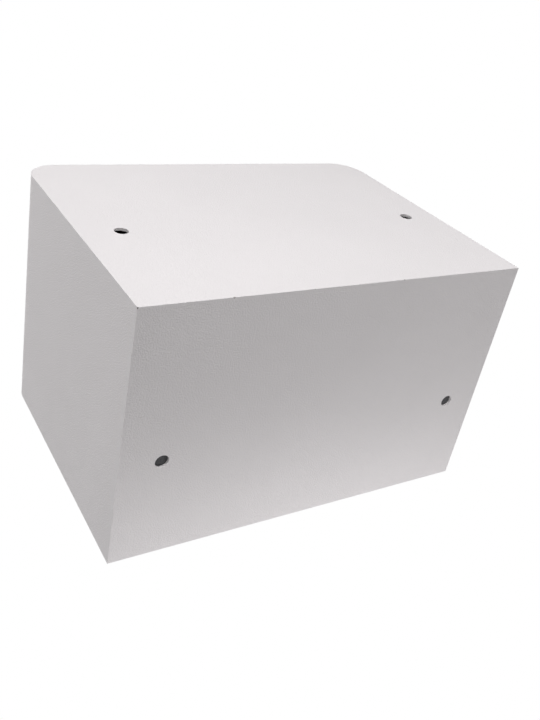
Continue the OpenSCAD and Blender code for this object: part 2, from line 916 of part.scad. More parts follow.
module buzzer() {
    color("black")
        difference() {
            bar_y(buzzer_x, buzzer_z, pcb_front_y, buzzer_top_y, buzzer_d);
            bar_y(buzzer_x, buzzer_z, buzzer_top_y - buzzer_hole_depth, buzzer_top_y + cut, buzzer_hole_d);
        }
}

module reset_button() {
    color("red") {
        bar_y(reset_x, reset_z, reset_foot_y, cover_y + reset_proud, reset_d);
        bar_y(reset_x, reset_z, box_y - reset_flange_t - slide_clear, box_y - slide_clear,
            reset_d + reset_flange);
    }
}

// Moulded tray for four cells side by side, open towards its lid
module battery_tray() {
    color("black")
        difference() {
            translate([tray_x, box_y - tray_depth, tray_z])
                cube([tray_w, tray_depth, tray_h]);
            translate([tray_x + tray_wall, box_y - tray_depth + tray_wall, tray_z + tray_wall])
                cube([tray_w - 2 * tray_wall, tray_depth, tray_h - 2 * tray_wall]);
        }
}

// Spring contacts: a plate with a conical boss at each end of each cell
module battery_contacts() {
    color("silver")
        for (i = [0:3], end = [0, 1])
            translate([cell_x(i), cells_y, tray_z + tray_wall + end * (tray_h - 2 * tray_wall)])
                mirror([0, 0, end])
                    union() {
                        translate([-contact_w / 2, -contact_w / 2, 0])
                            cube([contact_w, contact_w, contact_plate_t]);
                        cylinder(d1 = contact_base_d, d2 = contact_tip_d, h = contact_t);
                    }
}

module batteries() {
    color("orange")
        for (i = [0:3])
            translate([cell_x(i), cells_y, tray_z + tray_wall + contact_t + (i % 2) * cell_l])
                mirror([0, 0, i % 2]) {
                    cylinder(d = cell_d, h = cell_l - cell_cap_h);
                    cylinder(d = cell_cap_d, h = cell_l);
                }
}

// Plate over the battery tray, held by four hooks that pass through the cover
module battery_lid() {
    lid_y = cover_y + lid_gap;
    rib_z = tray_z + (tray_h - rib_h) / 2;
    color("black") {
        difference() {
            slab(lid_y, lid_y + lid_t)
                translate([tray_x + tray_w / 2, tray_z + tray_h / 2])
                    round_rect(tray_w + 2 * lid_over, tray_h + 2 * lid_over + 2 * hook_dz, lid_r);
            for (i = [0:4])
                translate([tray_x + tray_w - rib_from_edge + rib_pitch * i, lid_y + lid_t - rib_depth, rib_z])
                    cube([rib_w, 2 * rib_depth, rib_h]);
        }
        for (hook = hook_places) {
            translate([hook[0] - hook_w / 2, box_y - slide_clear, hook[1] - hook_neck / 2])
                cube([hook_w, lid_y - box_y + slide_clear, hook_neck]);
            translate([hook[0] - hook_w / 2, box_y - slide_clear - hook_foot_t, hook[1] - hook_foot / 2])
                cube([hook_w, hook_foot_t, hook_foot]);
        }
    }
}

// Threaded barrel of the override lock
module lock_barrel() {
    color("silver")
        difference() {
            bar_y(lock_x, lock_z, fascia_y, barrel_back_y, barrel_d);
            bar_y(lock_x, lock_z, fascia_y - cut, barrel_back_y + cut, plug_d + 2 * spindle_clear);
        }
}

module barrel_nut() {
    color("silver")
        difference() {
            translate([lock_x, door_y + nut_t, lock_z])
                rotate([90, 0, 0])
                    cylinder(d = barrel_d + 2 * barrel_nut_wall, h = nut_t, $fn = 6);
            bar_y(lock_x, lock_z, door_y - cut, door_y + nut_t + cut, barrel_d);
        }
}

// Turning plug with its keyway
module lock_plug() {
    color("gold")
        difference() {
            bar_y(lock_x, lock_z, fascia_y, barrel_back_y + slide_clear, plug_d);
            translate([lock_x - keyway_w / 2, fascia_y - cut, lock_z - keyway_h / 2])
                cube([keyway_w, keyway_depth + cut, keyway_h]);
        }
}

// Lever on the plug that swings under the plunger's cross pin
module lock_lever() {
    color("silver")
        translate([lock_x, 0, lock_z])
            rotate([0, -lever_rest, 0])
                slab(barrel_back_y + slide_clear, barrel_back_y + slide_clear + lever_t) {
                    circle(d = plug_d + lever_hub);
                    translate([0, -lever_w / 2])
                        square([lever_l, lever_w]);
                }
}

module keyhole_cap() {
    color("black")
        difference() {
            slab(cap_front_y, fascia_y - cap_gap)
                translate([lock_x, lock_z]) {
                    circle(d = cap_d);
                    translate([0, cap_pivot_dz])
                        circle(d = 2 * cap_lobe_r);
                    translate([-cap_lobe_r, 0])
                        square([2 * cap_lobe_r, cap_pivot_dz]);
                }
            bar_y(lock_x, lock_z + cap_pivot_dz, cap_front_y - cut, front_y, rivet_d + 2 * rivet_clear);
        }
}

module cap_rivet() {
    color("silver")
        translate([lock_x, 0, lock_z + cap_pivot_dz]) {
            bar_y(0, 0, rivet_head_y, front_y, rivet_d);
            bar_y(0, 0, rivet_head_y - rivet_head_t, rivet_head_y, rivet_d + rivet_head_over);
        }
}

// Outline of the grip bar, smaller by an inset all round
module grip_outline(inset) {
    translate([knob_x, mid_z])
        intersection() {
            circle(d = knob_d - 2 * grip_inset - 2 * inset);
            round_rect(grip_w - 2 * inset, knob_d, grip_r);
        }
}

// Fluted knob with a tapered grip bar across it and a dimple that points
module knob() {
    top_y = fascia_y - knob_h;
    pointer_z = mid_z + knob_d / 2 - grip_taper - pointer_from_end;
    color("silver")
        difference() {
            union() {
                translate([knob_x, skirt_y, mid_z])
                    rotate([90, 0, 0])
                        rotate_extrude()
                            polygon([
                                [0, 0],
                                [knob_d / 2, 0],
                                [knob_d / 2, skirt_h - knob_edge],
                                [knob_d / 2 - knob_edge, skirt_h],
                                [dish_d / 2, skirt_h + dish_h],
                                [0, skirt_h + dish_h]
                            ]);
                hull() {
                    slab(top_y + grip_edge, dish_y)
                        grip_outline(grip_taper - grip_edge / 2, $fn = 48);
                    slab(dish_y - grip_edge, dish_y)
                        grip_outline(0, $fn = 48);
                    slab(top_y, dish_y)
                        grip_outline(grip_taper + grip_edge / 2, $fn = 48);
                }
            }
            for (i = [0:flutes - 1])
                translate([knob_x, 0, mid_z])
                    rotate([0, 360 * i / flutes, 0])
                        bar_y(knob_d / 2 + flute_off, 0, dish_y - cut, skirt_y - flute_from_back, flute_d);
            bar_y(knob_x, mid_z, socket_y, front_y, spindle_d);
            bar_y(knob_x, pointer_z, top_y - cut, top_y + pointer_depth, pointer_d);
        }
}

module spindle() {
    color("silver")
        bar_y(knob_x, mid_z, socket_y, cam_y + cam_t, spindle_d);
}

// Cam disc with the pin that drives the carrier
module cam() {
    color("silver")
        difference() {
            union() {
                bar_y(knob_x, mid_z, cam_y, cam_y + cam_t, cam_d);
                bar_y(knob_x + pin_dx, mid_z + pin_dz, cam_y, cam_pin_y, cam_pin_d);
            }
            bar_y(knob_x, mid_z, cam_y - cut, cam_y + cam_t + cut, spindle_d);
        }
}

// Carrier plate with the flange that holds the bolts, the cam slot, the guide slots and the locking arm
module bolt_carrier() {
    plate_x = flange_x + flange_t;
    color("lightsteelblue") {
        difference() {
            slab(carrier_y, carrier_y + carrier_t)
                translate([0, mid_z]) {
                    translate([plate_x, -bolt_pitch / 2 + strip_from_bolt])
                        square([strip_w, bolt_pitch - 2 * strip_from_bolt]);
                    translate([plate_x, -plate_h / 2])
                        square([knob_x + plate_right - plate_x, plate_h]);
                    translate([plate_x, arm_bottom_z - mid_z])
                        square([arm_end_x - plate_x, arm_top_z - arm_bottom_z]);
                }
            slab(carrier_y - cut, carrier_y + carrier_t + cut) {
                translate([knob_x + pin_dx, mid_z + pin_dz - cam_slot_end])
                    rotate(90)
                        slot(cam_r - pin_dz + 2 * cam_slot_end, carrier_slot_w);
                for (side = [-1, 1])
                    translate([guide_x, mid_z + side * guide_dz])
                        slot(bolt_throw, guide_d + 2 * slide_clear);
            }
        }
        difference() {
            translate([flange_x, bolt_y - flange_w / 2, mid_z - flange_h / 2])
                cube([flange_t, flange_w, flange_h]);
            for (side = [-1, 1])
                bar_x(flange_x - cut, flange_x + flange_t + cut, bolt_y, mid_z + side * bolt_pitch / 2,
                    bolt_screw_d);
        }
    }
}

// Round bolts with chamfered noses
module bolts() {
    color("silver")
        for (side = [-1, 1])
            translate([0, 0, mid_z + side * bolt_pitch / 2])
                difference() {
                    union() {
                        bar_x(box_left - bolt_proud + bolt_nose, flange_x, bolt_y, 0, bolt_d);
                        translate([box_left - bolt_proud, bolt_y, 0])
                            rotate([0, 90, 0])
                                cylinder(d1 = bolt_d - 2 * bolt_nose, d2 = bolt_d, h = bolt_nose);
                    }
                    bar_x(flange_x - bolt_screw_l - cut, flange_x + cut, bolt_y, 0, bolt_screw_d);
                }
}

module bolt_screws() {
    color("dimgray")
        for (side = [-1, 1])
            translate([0, 0, mid_z + side * bolt_pitch / 2])
                difference() {
                    union() {
                        bar_x(flange_x - bolt_screw_l, flange_x + flange_t, bolt_y, 0, bolt_screw_d);
                        bar_x(flange_x + flange_t, flange_x + flange_t + bolt_screw_head_h, bolt_y, 0,
                            bolt_screw_head_d);
                    }
                    translate([flange_x + flange_t + bolt_screw_head_h / 2, bolt_y, 0])
                        rotate([0, 90, 0])
                            cylinder(d = bolt_screw_head_d / 2, h = bolt_screw_head_h, $fn = 6);
                }
}

// Outline of a key, smaller by an inset all round
module key_outline(inset) {
    round_rect(key_w - 2 * inset, key_h - 2 * inset, key_r - inset);
}

// One key: a chamfered cap that stands through the fascia and the flange that keeps it in
module key_cap(column, row) {
    back_y = fascia_y + fascia_wall + slide_clear;
    top_y = fascia_y - key_rise;
    color("darkslategray")
        translate([key_x(column), 0, key_z(row)]) {
            hull() {
                slab(top_y + key_edge, back_y)
                    key_outline(0, $fn = 32);
                slab(top_y, back_y)
                    key_outline(key_edge, $fn = 32);
            }
            slab(back_y, back_y + key_flange_t)
                key_outline(-key_flange);
        }
}

body_wrap();
back_panel();
bottom_panel();
front_frame();
hinge_bracket_top();
hinge_bracket_bottom();
floor_mat();
door_plate();
door_box();
hinge_blocks();
hinge_pins();
fascia();
keypad_board();
led_lenses();
lock_cover();
cover_posts();
cover_screws();
spindle_bush();
bush_nut();
carrier_guides();
solenoid_frame();
solenoid_coil();
plunger_spring();
control_board();
buzzer();
keypad_ribbon();
battery_tray();
battery_contacts();
batteries();
lock_barrel();
barrel_nut();
cap_rivet();
knob();
spindle();
cam();
bolt_carrier();
bolts();
bolt_screws();
plunger();
keyhole_cap();
lock_plug();
lock_lever();
battery_lid();
reset_button();
key_cap(0, 0);  // key_1
key_cap(1, 0);  // key_2
key_cap(2, 0);  // key_3
key_cap(0, 1);  // key_4
key_cap(1, 1);  // key_5
key_cap(2, 1);  // key_6
key_cap(0, 2);  // key_7
key_cap(1, 2);  // key_8
key_cap(2, 2);  // key_9
key_cap(0, 3);  // key_left
key_cap(1, 3);  // key_0
key_cap(2, 3);  // key_right
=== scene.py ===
# %% [markdown]
# # A small furniture safe
#
# The safe is a steel cabinet with a flush door. Its photograph shows it from behind and from
# below, so the back, the bottom and one side carry most of the look: a light grey powder coat over
# welded sheet. The frame holds every construction piece at its real size. This lesson gives each
# piece its finish, adds the small things that a maker adds last, and sets the light and the
# camera.

# %% Load the frame
import json
import math

import bmesh
import bpy
from mathutils import Euler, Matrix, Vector
from mathutils import noise as wave


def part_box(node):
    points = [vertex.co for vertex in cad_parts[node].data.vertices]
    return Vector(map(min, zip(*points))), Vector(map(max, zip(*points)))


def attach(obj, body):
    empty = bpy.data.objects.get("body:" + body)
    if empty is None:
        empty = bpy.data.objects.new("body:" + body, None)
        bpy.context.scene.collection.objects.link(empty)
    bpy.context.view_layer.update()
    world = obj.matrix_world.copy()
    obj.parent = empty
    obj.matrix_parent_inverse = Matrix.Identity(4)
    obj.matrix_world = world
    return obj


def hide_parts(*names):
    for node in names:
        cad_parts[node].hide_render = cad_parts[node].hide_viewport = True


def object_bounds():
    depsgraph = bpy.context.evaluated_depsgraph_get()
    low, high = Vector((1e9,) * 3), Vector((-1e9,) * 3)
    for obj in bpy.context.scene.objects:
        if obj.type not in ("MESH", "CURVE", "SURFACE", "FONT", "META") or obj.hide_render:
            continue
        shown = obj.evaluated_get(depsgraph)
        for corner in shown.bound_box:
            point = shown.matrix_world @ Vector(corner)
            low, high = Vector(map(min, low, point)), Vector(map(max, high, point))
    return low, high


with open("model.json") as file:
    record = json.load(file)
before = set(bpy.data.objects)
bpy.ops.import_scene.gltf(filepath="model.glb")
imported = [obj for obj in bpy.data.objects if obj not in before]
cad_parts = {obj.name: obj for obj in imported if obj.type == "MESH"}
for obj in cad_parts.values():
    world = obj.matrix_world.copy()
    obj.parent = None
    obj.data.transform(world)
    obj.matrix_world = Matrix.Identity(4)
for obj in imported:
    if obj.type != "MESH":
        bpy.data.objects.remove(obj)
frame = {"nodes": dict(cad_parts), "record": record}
cad_box = [list(corner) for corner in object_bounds()]
nodes = frame["nodes"]
MM = 0.001
print(len(nodes), "nodes, box", cad_box)

# %% [markdown]
# ## Writing shader maths as sums
#
# A node tree is hard to read as a list of links. `Wire` wraps one output of a node, so that `a * b
# + 1` adds the Math nodes by itself. `Finish` holds one material and adds any other node with one
# call.

# %% Wire
class Wire:
    """One number that varies over a surface."""

    def __init__(self, finish, socket):
        self.finish = finish
        self.socket = socket

    def math(self, operation, first, second=0.0):
        return self.finish.add("ShaderNodeMath", {"operation": operation}, {0: first, 1: second})

    def __add__(self, other):
        return self.math("ADD", self, other)

    def __sub__(self, other):
        return self.math("SUBTRACT", self, other)

    def __mul__(self, other):
        return self.math("MULTIPLY", self, other)

    def __rsub__(self, other):
        return self.math("SUBTRACT", other, self)

    def __lt__(self, other):
        return self.math("LESS_THAN", self, other)

    def __gt__(self, other):
        return self.math("GREATER_THAN", self, other)

    def __abs__(self):
        return self.math("ABSOLUTE", self)

    __radd__ = __add__
    __rmul__ = __mul__


# %% Finish
class Finish:
    """One material, with a call that adds a node."""

    def __init__(self, name, **constants):
        self.material = bpy.data.materials.new(name)
        self.material.use_nodes = True
        self.tree = self.material.node_tree
        self.shader = self.tree.nodes["Principled BSDF"]
        for socket, value in constants.items():
            self.shader.inputs[socket.replace("_", " ")].default_value = value

    def link(self, value, socket):
        if isinstance(value, Wire):
            self.tree.links.new(value.socket, socket)
        elif socket.type == "RGBA" and len(value) == 3:
            socket.default_value = (*value, 1)
        else:
            socket.default_value = value

    def add(self, kind, settings=None, sockets=None, output=0):
        node = self.tree.nodes.new(kind)
        for key, value in (settings or {}).items():
            if key == "stops":
                for stop, (place, colour) in zip(node.color_ramp.elements, value):
                    stop.position = place
                    stop.color = colour
            else:
                setattr(node, key, value)
        for key, value in (sockets or {}).items():
            self.link(value, node.inputs[key])
        return Wire(self, node.outputs[output])

    def feed(self, **values):
        for socket, value in values.items():
            self.link(value, self.shader.inputs[socket.replace("_", " ")])

    def place(self):
        return self.add("ShaderNodeTexCoord", output=3)

    def axis(self, index):
        return self.add("ShaderNodeSeparateXYZ", None, {0: self.place()}, index)

    def noise(self, size, detail=2.0, roughness=0.5, stretch=(1, 1, 1), over=None):
        """Noise whose waves are about `size` metres across, from 0 to 1."""
        sockets = {"Vector": over or self.place(), "Scale": stretch}
        mapped = self.add("ShaderNodeMapping", None, sockets)
        sockets = {"Vector": mapped, "Scale": 1 / size, "Detail": detail, "Roughness": roughness}
        return self.add("ShaderNodeTexNoise", None, sockets)

    def away(self, point):
        """Distance from a point of the safe, in metres."""
        sockets = {0: self.place(), 1: point}
        return self.add("ShaderNodeVectorMath", {"operation": "DISTANCE"}, sockets, 1)

    def fade(self, value, near, far):
        """1 at `near` and below, 0 at `far` and above, soft between."""
        sockets = {"Value": value, "From Min": near, "From Max": far, "To Min": 1, "To Max": 0}
        return self.add("ShaderNodeMapRange", {"interpolation_type": "SMOOTHSTEP"}, sockets)

    def ramp(self, value, low, high, dark, light):
        stops = [(low, (*dark, 1)), (high, (*light, 1))]
        return self.add("ShaderNodeValToRGB", {"stops": stops}, {0: value})

    def mix(self, factor, first, second):
        sockets = {0: factor, 6: first, 7: second}
        return self.add("ShaderNodeMix", {"data_type": "RGBA"}, sockets, 2)

    def bump(self, height, distance, strength=1.0, under=None):
        sockets = {"Height": height, "Distance": distance, "Strength": strength}
        if under is not None:
            sockets["Normal"] = under
        return self.add("ShaderNodeBump", None, sockets)


def srgb(red, green, blue):
    """Linear colour of an 8-bit screen colour."""
    def linear(level):
        part = level / 255
        return part / 12.92 if part <= 0.04045 else ((part + 0.055) / 1.055) ** 2.4

    return tuple(linear(level) for level in (red, green, blue))


# %% [markdown]
# ## The powder coat
#
# Powder is sprayed dry and melts into one skin. It never lies quite flat: a fine orange peel of
# about a millimetre stays, on a slower ripple. Colour changes very little over it. A bump with two
# scales gives the peel, and a slow noise of a few per cent gives the uneven film.
#
# Along the edge where the back meets the bottom the photograph has a few weld spots under the
# paint, and the corner has a chip. Each is a place and a reach, so one short loop adds them all:
# the coat is painted darker there, as painted shade for the small pits that the welds and the chip
# leave, and a bump lowers it.

# %% Powder coat
back = cad_box[1][1]
side = cad_box[1][0]
weld_marks = [
    ((92.5 * MM, back, 0), 1.1 * MM),
    ((-41.5 * MM, back, 0), 0.8 * MM),
    ((33.5 * MM, back, 0), 0.5 * MM),
]
corner_chip = ((side - 0.1 * MM, back - 0.4 * MM, 0), 0.9 * MM)


def powder_coat(name, colour, grain, marks=()):
    finish = Finish(name, Specular_IOR_Level=0.3)
    film = finish.noise(110 * MM, 3.0)
    speck = finish.noise(0.9 * MM, 1.0)
    thin = tuple(0.965 * part for part in colour)
    tone = finish.ramp(film * 0.8 + speck * 0.2, 0.32, 0.68, thin, colour)
    peel = finish.noise(1.1 * MM, 2.0, 0.6)
    ripple = finish.noise(6 * MM, 1.0)
    normal = finish.bump(ripple, 0.18 * MM, 0.6, finish.bump(peel, grain))
    # Each mark is painted shade: the coat turns to a darker tone where a pit would lie in shade,
    # and a bump lowers it.
    for (point, reach), dark in marks:
        shade_spot = finish.fade(finish.away(point) + peel * (0.6 * reach), 0.5 * reach, 1.3 * reach)
        tone = finish.mix(shade_spot, tone, dark)
        normal = finish.bump(1 - shade_spot, 0.3 * MM, 0.6, normal)
    finish.feed(Base_Color=tone, Roughness=finish.noise(30 * MM) * 0.12 + 0.46, Normal=normal)
    return finish


shell_colour = srgb(234, 230, 231)
# Painted shade for the weld pits and the corner chip: darker tones of the coat.
weld_pit_shade = srgb(158, 153, 150)
chip_shade = srgb(84, 80, 80)
shell_shaded_marks = [(mark, weld_pit_shade) for mark in weld_marks] + [(corner_chip, chip_shade)]
shell_paint = powder_coat("powder_coat_shell", shell_colour, 0.39 * MM, shell_shaded_marks)
liner_paint = powder_coat("powder_coat_liner", srgb(224, 222, 222), 0.12 * MM)
print("coat", [round(part, 3) for part in shell_colour], "with", len(shell_shaded_marks), "marks")


# %% [markdown]
# ## Metals
#
# Rolled and turned steel shows fine lines along the way it was worked, so the noise that drives its
# roughness is stretched. Zinc plating adds a slow stain.

# %% Metals
def worked_metal(name, colour, rough, stretch, line=0.6 * MM):
    finish = Finish(name, Metallic=1.0)
    lines = finish.noise(line, 3.0, 0.6, stretch)
    stain = finish.noise(18 * MM, 3.0)
    dull = tuple(0.8 * part for part in colour)
    tone = finish.ramp(stain * 0.6 + lines * 0.4, 0.3, 0.7, dull, colour)
    finish.feed(Base_Color=tone, Roughness=lines * 0.22 + rough,
                Normal=finish.bump(lines, 0.04 * MM))
    return finish


zinc = worked_metal("zinc_plated_sheet", (0.66, 0.66, 0.68), 0.26, (1, 1, 0.12))
bright = worked_metal("turned_steel", (0.76, 0.76, 0.78), 0.14, (1, 0.15, 1), 0.4 * MM)
black_oxide = worked_metal("black_oxide_steel", (0.09, 0.09, 0.10), 0.32, (1, 1, 1))
brass = worked_metal("machined_brass", (0.80, 0.60, 0.28), 0.18, (1, 0.2, 1))
bolt_steel = worked_metal("turned_bolt", (0.66, 0.66, 0.68), 0.16, (1, 0.03, 0.03), 0.3 * MM)
print("metals", [metal.material.name for metal in (zinc, bright, black_oxide, brass, bolt_steel)])


# %% [markdown]
# The knob, the lock barrel and the cap's rivet come from a lathe, so their lines are circles about
# their own axis. The distance from a point far down that axis is the same all round, on the flat
# faces and on the rim alike, and a noise over that one number draws the circles.

# %% Lathe lines
def turned_about(node, colour, rough):
    finish = Finish("turned_" + node, Metallic=1.0)
    low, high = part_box(node)
    behind = (0.5 * (low.x + high.x), high.y + 60 * MM, 0.5 * (low.z + high.z))
    lines = finish.noise(0.3 * MM, 3.0, 0.7, over=finish.away(behind))
    smear = finish.noise(9 * MM, 3.0)
    dull = tuple(0.82 * part for part in colour)
    tone = finish.ramp(lines * 0.4 + smear * 0.6, 0.3, 0.7, dull, colour)
    finish.feed(Base_Color=tone, Roughness=lines * 0.14 + smear * 0.10 + rough,
                Normal=finish.bump(lines, 0.02 * MM))
    return finish


knob_metal = turned_about("knob", (0.56, 0.56, 0.58), 0.12)
barrel_metal = turned_about("lock_barrel", (0.70, 0.70, 0.72), 0.10)
rivet_metal = turned_about("cap_rivet", (0.42, 0.42, 0.43), 0.20)


# %% [markdown]
# ## Plastics and rubber
#
# Mouldings take a fine spark texture from their tool, and hands and dust leave soft smears in the
# gloss. The three lights are one moulding in three colours, so their colour is chosen by place. So
# is the control board's: its plate is green with tinned joints, what stands on it is black, and
# its feet are pale nylon.

# %% Plastics and rubber
def moulded(name, colour, rough, grain=0.7 * MM, depth=0.12 * MM):
    finish = Finish(name, Specular_IOR_Level=0.5)
    spark = finish.noise(grain, 2.0, 0.65)
    smear = finish.noise(30 * MM)
    light = tuple(min(1.0, 1.25 * part + 0.004) for part in colour)
    tone = finish.ramp(smear * 0.7 + spark * 0.3, 0.3, 0.7, colour, light)
    finish.feed(Base_Color=tone, Roughness=smear * 0.12 + rough,
                Normal=finish.bump(spark, depth))
    return finish


black_abs = moulded("black_moulding", (0.018, 0.018, 0.020), 0.40)
key_rubber = moulded("key_rubber", (0.055, 0.058, 0.064), 0.52, 0.8 * MM, 0.03 * MM)
red_moulding = moulded("red_moulding", (0.52, 0.02, 0.018), 0.25)
lead_sleeve = moulded("lead_sleeve", (0.35, 0.35, 0.37), 0.4)
winding = moulded("taped_winding", (0.42, 0.10, 0.05), 0.3)
board_mask = moulded("board_mask", (0.012, 0.12, 0.045), 0.25, 1.2 * MM)
pad_print = moulded("pad_print", (0.78, 0.78, 0.77), 0.45, 0.3 * MM, 0.01 * MM)
pointer_enamel = moulded("pointer_enamel", (0.40, 0.015, 0.012), 0.18, 0.4 * MM, 0.01 * MM)


# %% Lights, cells and board
def light_lens():
    finish = Finish("light_lens", Specular_IOR_Level=0.6, Coat_Weight=0.5)
    low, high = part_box("led_lenses")
    third = (high.x - low.x) / 3
    across = finish.axis(0)
    mottle = finish.noise(1.2 * MM)
    red = finish.ramp(mottle, 0.3, 0.7, (0.36, 0.012, 0.010), (0.46, 0.02, 0.016))
    amber = finish.ramp(mottle, 0.3, 0.7, (0.50, 0.20, 0.012), (0.60, 0.26, 0.02))
    green = finish.ramp(mottle, 0.3, 0.7, (0.016, 0.26, 0.05), (0.03, 0.34, 0.07))
    tone = finish.mix(across > low.x + third, green, amber)
    tone = finish.mix(across > high.x - third, tone, red)
    finish.feed(Base_Color=tone, Roughness=mottle * 0.08 + 0.10,
                Normal=finish.bump(mottle, 0.02 * MM))
    return finish


def cell_wrap():
    finish = Finish("cell_wrap", Specular_IOR_Level=0.5)
    low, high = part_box("batteries")
    bare_end = 2.6 * MM
    scuff = finish.noise(4 * MM, 3.0, 0.7, (1, 1, 0.2))
    half = 0.5 * (high.z - low.z)
    inside = abs(finish.axis(2) - 0.5 * (low.z + high.z)) < half - bare_end
    film = finish.ramp(scuff, 0.3, 0.7, (0.045, 0.05, 0.06), (0.075, 0.08, 0.095))
    band = abs(finish.axis(2) - high.z + 15 * MM) < 7 * MM
    film = finish.mix(band, film, (0.30, 0.31, 0.33))
    tone = finish.mix(inside, (0.70, 0.70, 0.71), film)
    finish.feed(Base_Color=tone, Metallic=1 - inside, Roughness=scuff * 0.2 + 0.18,
                Normal=finish.bump(scuff, 0.03 * MM))
    return finish


def populated_board():
    finish = Finish("populated_board", Specular_IOR_Level=0.5)
    feet_h, plate_t, slack = 3.0 * MM, 1.6 * MM, 0.1 * MM
    plate_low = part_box("control_board")[0].y + feet_h
    plate_high = plate_low + plate_t
    mottle = finish.noise(1.2 * MM, 2.0, 0.65)
    tone = finish.ramp(mottle, 0.3, 0.7, (0.010, 0.10, 0.038), (0.018, 0.15, 0.055))
    flat = finish.add("ShaderNodeCombineXYZ", None, {0: finish.axis(0), 1: finish.axis(2)})
    joints = finish.add("ShaderNodeTexVoronoi", {"voronoi_dimensions": "2D"},
                        {"Vector": flat, "Scale": 1 / (5 * MM), "Randomness": 0.5})
    tone = finish.mix(joints < 0.12, tone, (0.52, 0.52, 0.50))
    tone = finish.mix(finish.axis(1) > plate_high + slack, tone, (0.012, 0.012, 0.014))
    tone = finish.mix(finish.axis(1) < plate_low - slack, tone, (0.55, 0.55, 0.52))
    finish.feed(Base_Color=tone, Roughness=mottle * 0.12 + 0.25,
                Normal=finish.bump(mottle, 0.05 * MM))
    return finish


clear_lens = light_lens()
wrapped_cell = cell_wrap()
control_board = populated_board()
for finish in (pad_print, clear_lens, wrapped_cell, control_board):
    print("plastic", finish.material.name)


# %% [markdown]
# ## Felt
#
# The floor mat is needle felt, punched from loose fibres. They cross in all directions and stand a
# little proud, so two stretched noises are added, and the bump under them is deep and matt.

# %% Felt
def needle_felt():
    finish = Finish("needle_felt", Roughness=0.95, Specular_IOR_Level=0.1, Sheen_Weight=0.25)
    along = finish.noise(1.1 * MM, 3.0, 0.7, (1, 0.25, 1))
    across = finish.noise(1.1 * MM, 3.0, 0.7, (0.25, 1, 1))
    clump = finish.noise(9 * MM)
    fibres = along * 0.4 + across * 0.4 + clump * 0.2
    tone = finish.ramp(fibres, 0.3, 0.7, (0.045, 0.046, 0.048), (0.15, 0.15, 0.155))
    finish.feed(Base_Color=tone, Normal=finish.bump(fibres, 0.6 * MM))
    return finish


felt = needle_felt()
print("felt", felt.material.name)

# %% [markdown]
# ## Giving each construction piece its finish
#
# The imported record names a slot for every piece, so a finish is chosen by slot, and a piece takes
# it by its own name.

# %% Dress the nodes
slot_finish = {
    "shell": shell_paint,
    "liner": liner_paint,
    "bare_steel": zinc,
    "bright_steel": bright,
    "dark_screw": black_oxide,
    "mat": felt,
    "fascia_plastic": black_abs,
    "board": board_mask,
    "lens": clear_lens,
    "ribbon": lead_sleeve,
    "brass": brass,
    "coil": winding,
    "cell": wrapped_cell,
    "chrome": barrel_metal,
    "reset": red_moulding,
    "key": key_rubber,
}
own_finish = {
    "knob": knob_metal,
    "bolts": bolt_steel,
    "cap_rivet": rivet_metal,
    "control_board": control_board,
}
for subpart in frame["record"]["subparts"]:
    finish = own_finish.get(subpart["node"], slot_finish[subpart["material_slot"]])
    mesh = nodes[subpart["node"]].data
    mesh.materials.clear()
    mesh.materials.append(finish.material)


# %% [markdown]
# ## Soft edges on the sheet
#
# Paint draws back a little from a cut edge and rounds it, and that thin line catches the light.
# The frame's meshes stay as they are, so a Bevel modifier adds the rounding, and it only works on
# edges that are marked. On the cabinet only the outer edges are marked: where two sheets lie
# flush, no groove may open. A few smaller pieces are rounded all over.

# %% Soften
def soften(name, chosen, width, steps=3):
    """Bevels the sharp edges of a node whose two ends both satisfy `chosen`."""
    piece = nodes[name]
    shape = bmesh.new()
    shape.from_mesh(piece.data)
    marked = []
    for edge in shape.edges:
        sharp = len(edge.link_faces) == 2 and edge.calc_face_angle() > math.radians(50)
        if sharp and all(chosen(corner.co) for corner in edge.verts):
            marked.append(edge.index)
    shape.free()
    weights = piece.data.attributes.new("bevel_weight_edge", "FLOAT", "EDGE")
    for index in marked:
        weights.data[index].value = 1.0
    bevel = piece.modifiers.new("paint_edge", "BEVEL")
    bevel.limit_method = "WEIGHT"
    bevel.width = width
    bevel.segments = steps
    bevel.harden_normals = True
    return len(marked)


def at(value, target):
    return abs(value - target) < 0.02 * MM


front_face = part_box("front_frame")[0].y
door_low, door_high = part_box("door_plate")
edge_round = 0.6 * MM
softened = {
    "back_panel": soften("back_panel", lambda co: at(co.y, back), edge_round),
    "bottom_panel": soften(
        "bottom_panel", lambda co: at(co.z, 0) and at(abs(co.x), side), edge_round),
    "front_frame": soften("front_frame", lambda co: at(co.y, front_face), edge_round),
    "door_plate": soften("door_plate", lambda co: at(co.y, door_low.y), edge_round),
}
for name in ("door_box", "lock_cover", "keyhole_cap", "battery_lid", "bolts", "hinge_blocks"):
    softened[name] = soften(name, lambda co: True, 0.25 * MM, 2)
print("softened edges", softened)

# %% [markdown]
# ## The felt mat
#
# A loose mat lies on the cabinet's floor. It is cut by knife from soft sheet, so its edge is a
# little rounded and its top is never level. A fine grid gives it both: every vertex near the rim
# sinks, and a slow wave moves the top by tenths of a millimetre. It covers the two anchor holes,
# as the photograph shows: dark felt lies right behind them.

